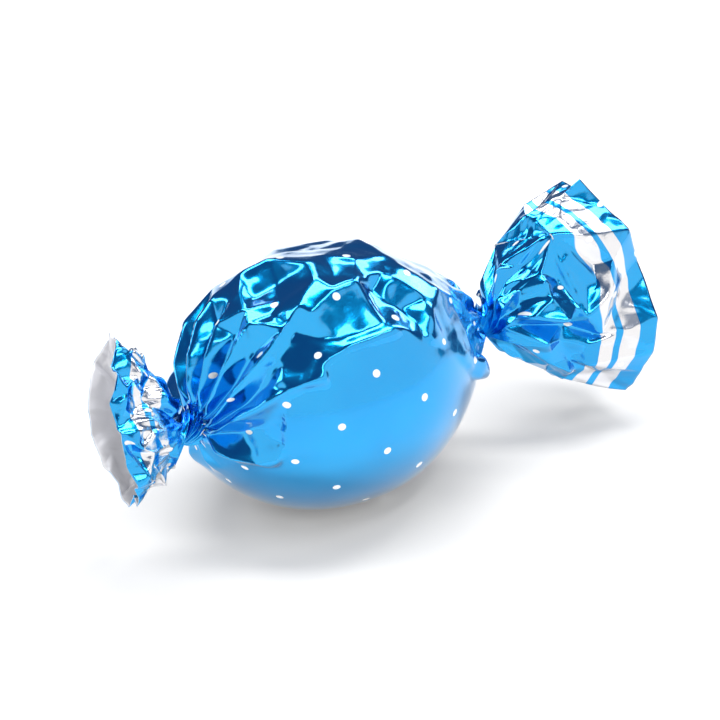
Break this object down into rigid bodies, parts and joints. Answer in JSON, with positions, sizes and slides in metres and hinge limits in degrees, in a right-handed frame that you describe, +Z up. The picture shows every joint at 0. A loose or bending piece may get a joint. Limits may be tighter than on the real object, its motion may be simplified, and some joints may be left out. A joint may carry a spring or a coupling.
{
  "type": "twist-wrapped caramel candy",
  "caption": "Round caramel sweet wrapped in crumpled metallised film, twisted shut at both ends into short necks with flared, pleated and flattened tails.",
  "frame": {"origin": "on the surface that the candy lies on, under the middle of its bounding box", "axes": "+X along the candy from the left tail to the longer right tail, +Z up"},
  "size_m": [0.0684, 0.0268, 0.0267],
  "materials": {
    "blue_film": "blue metallised plastic film with small white dots and pale stripes near the cut edges"
  },
  "bodies": {
    "root": {"wrapped_candy": "blue_film"}
  },
  "joints": []
}
